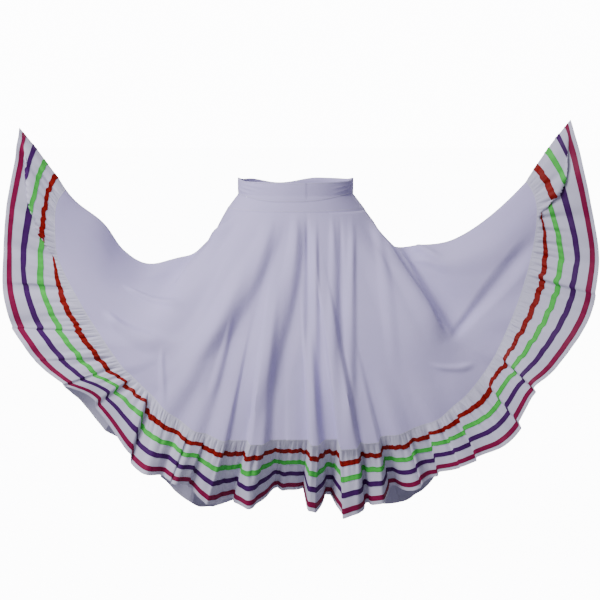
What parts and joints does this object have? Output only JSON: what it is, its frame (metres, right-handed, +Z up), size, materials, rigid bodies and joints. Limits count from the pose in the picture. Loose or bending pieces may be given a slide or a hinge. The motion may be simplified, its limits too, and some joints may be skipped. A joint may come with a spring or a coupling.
{
  "type": "circle skirt",
  "caption": "Full circle dance skirt with a gathered ruffle and satin ribbons round the hem, worn and held out like wings on both sides.",
  "frame": {"origin": "middle of the waist opening, halfway up the waistband, where the wearer's waist holds the skirt", "axes": "+Z up, -Y to the front of the skirt, +X to the right seen from the front"},
  "size_m": [1.5736, 0.5127, 1.1052],
  "materials": {
    "poplin": "matte plain-woven white cotton blend",
    "ruffle_poplin": "matte plain-woven white cotton blend, gathered",
    "satin_red": "satin ribbon",
    "satin_green": "satin ribbon",
    "satin_purple": "satin ribbon",
    "satin_magenta": "satin ribbon"
  },
  "bodies": {
    "root": {"waistband": "poplin", "waist_yoke": "poplin", "panel_front": "poplin", "panel_back": "poplin", "ruffle_front": "ruffle_poplin", "ruffle_back": "ruffle_poplin", "ribbon_red_front": "satin_red", "ribbon_green_front": "satin_green", "ribbon_purple_front": "satin_purple", "ribbon_magenta_front": "satin_magenta", "ribbon_red_back": "satin_red", "ribbon_green_back": "satin_green", "ribbon_purple_back": "satin_purple", "ribbon_magenta_back": "satin_magenta"}
  },
  "joints": []
}
